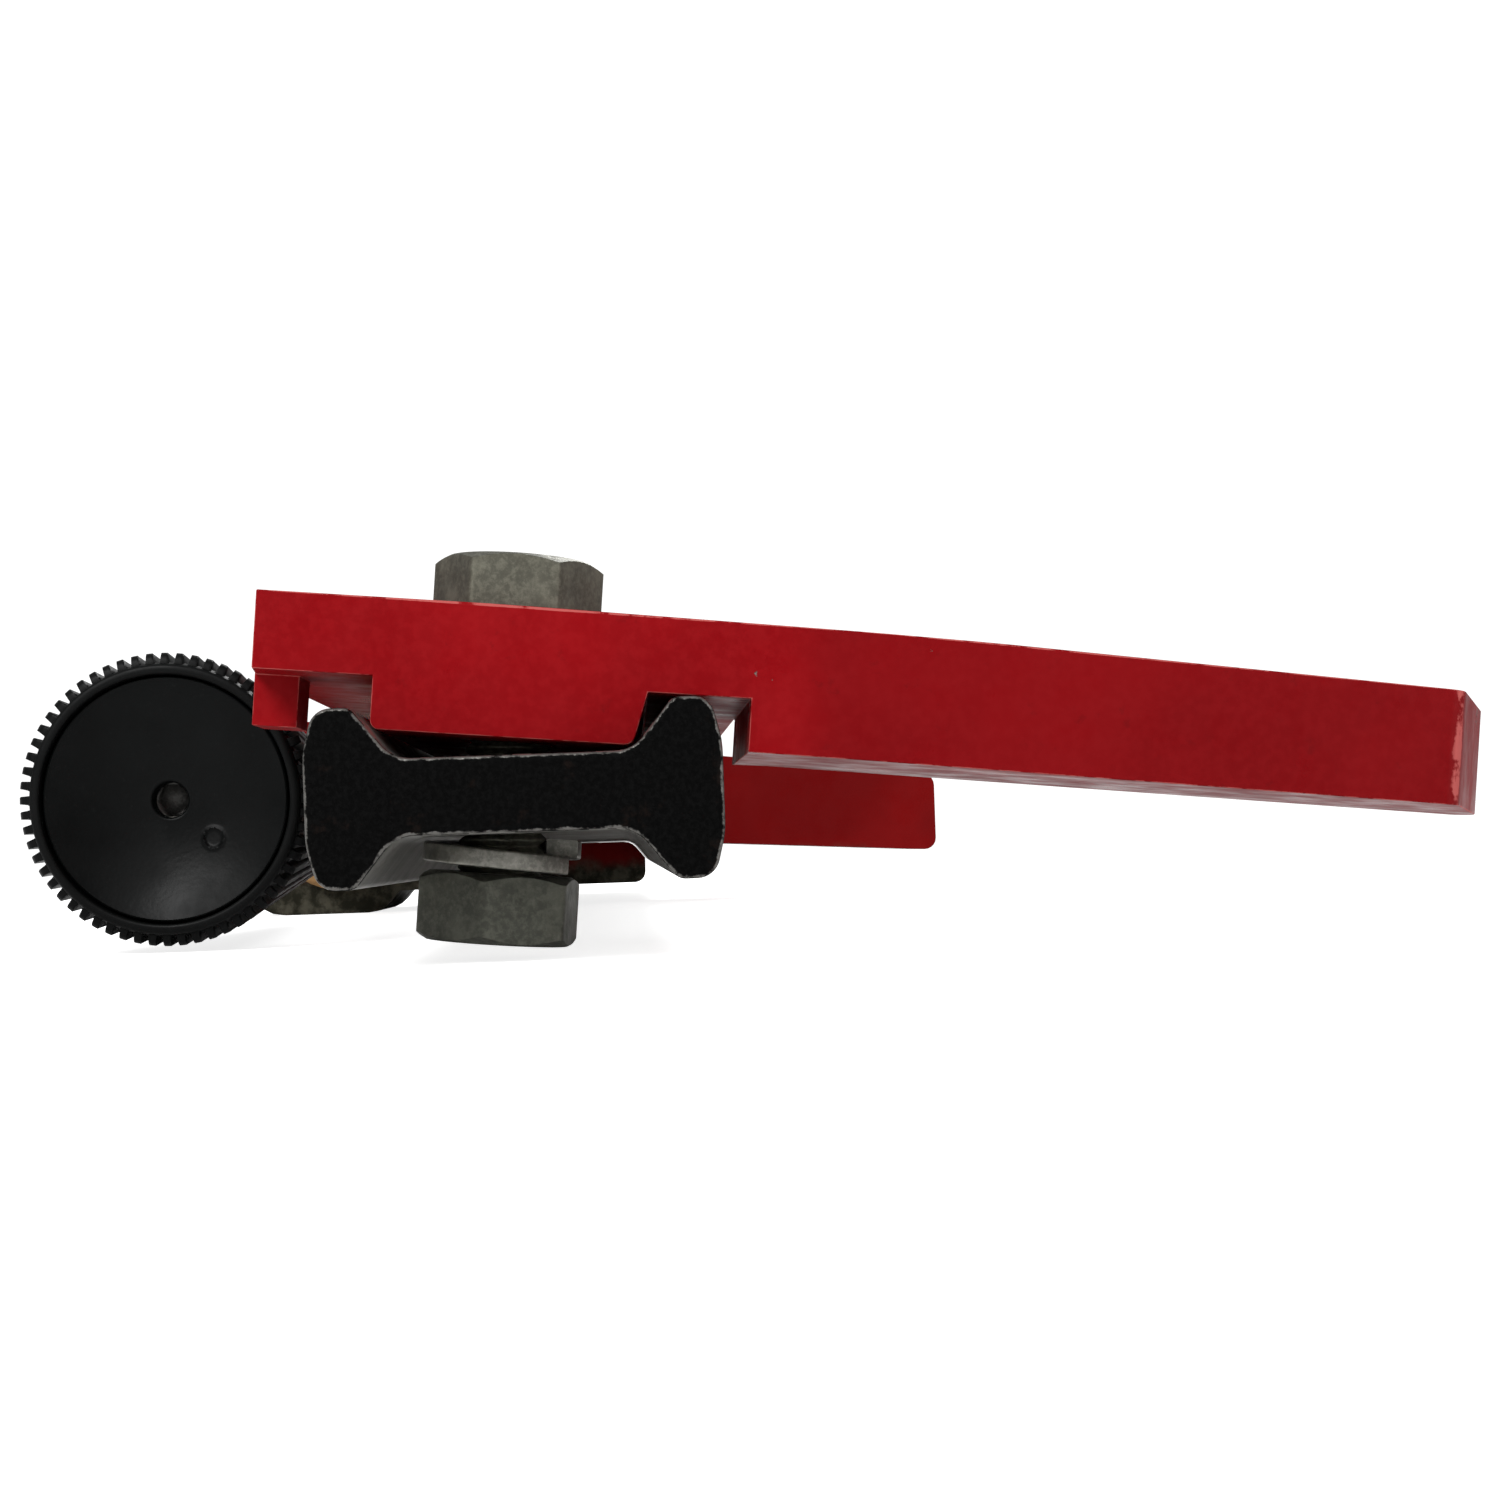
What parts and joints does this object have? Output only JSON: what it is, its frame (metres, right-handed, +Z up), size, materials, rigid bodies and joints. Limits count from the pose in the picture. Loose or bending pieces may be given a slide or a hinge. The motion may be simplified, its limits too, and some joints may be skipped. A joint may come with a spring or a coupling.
{
  "type": "beam clamp",
  "caption": "Adjustable beam clamp: fixed arm on the end of an I-section rail, and a sliding arm that a hand-turned spindle presses against the work.",
  "frame": {"origin": "centre of the rail's front end face", "axes": "+Y along the rail from its front end, +X the way both arms reach, +Z up, away from the fixed arm's nut"},
  "size_m": [0.189, 0.4, 0.0463],
  "materials": {
    "red_paint": "satin red enamel",
    "steel": "zinc-plated and bare steel",
    "bronze": "machined bronze",
    "black_plastic": "satin moulded plastic"
  },
  "bodies": {
    "rail_frame": {"rail": "steel", "rail_stop_pin": "steel", "fixed_arm": "red_paint", "arm_bolt": "steel", "arm_spring_washer": "steel", "arm_nut": "steel"},
    "head": {"moving_head": "red_paint", "spindle_bush": "bronze", "bush_set_screw": "steel", "slide_spring": "steel"},
    "shoe": {"thrust_shoe": "steel", "shoe_grip_plate": "steel"},
    "handle": {"spindle": "steel", "thrust_washer": "steel", "retaining_ring": "steel", "handle_grip": "black_plastic", "handle_end_cap": "black_plastic", "handle_screw": "steel", "handle_ferrule": "steel", "handle_pin": "steel"}
  },
  "joints": [
    {"name": "head_slide", "type": "slide", "parent": "rail_frame", "child": "head", "axis": [0, 1, 0], "range_m": [-0.139, 0.018]},
    {"name": "spindle_feed", "type": "slide", "parent": "head", "child": "shoe", "axis": [0, 1, 0], "range_m": [0, 0.058]},
    {"name": "spindle_turn", "type": "hinge", "parent": "shoe", "child": "handle", "pos_m": [-0.0517, 0.071, 0.0028], "axis": [0, 1, 0], "range_deg": [-1, 5222]}
  ],
  "couplings": [
    {"joint": "spindle_turn", "follows": "spindle_feed", "rad_per_m": 1570.8}
  ]
}
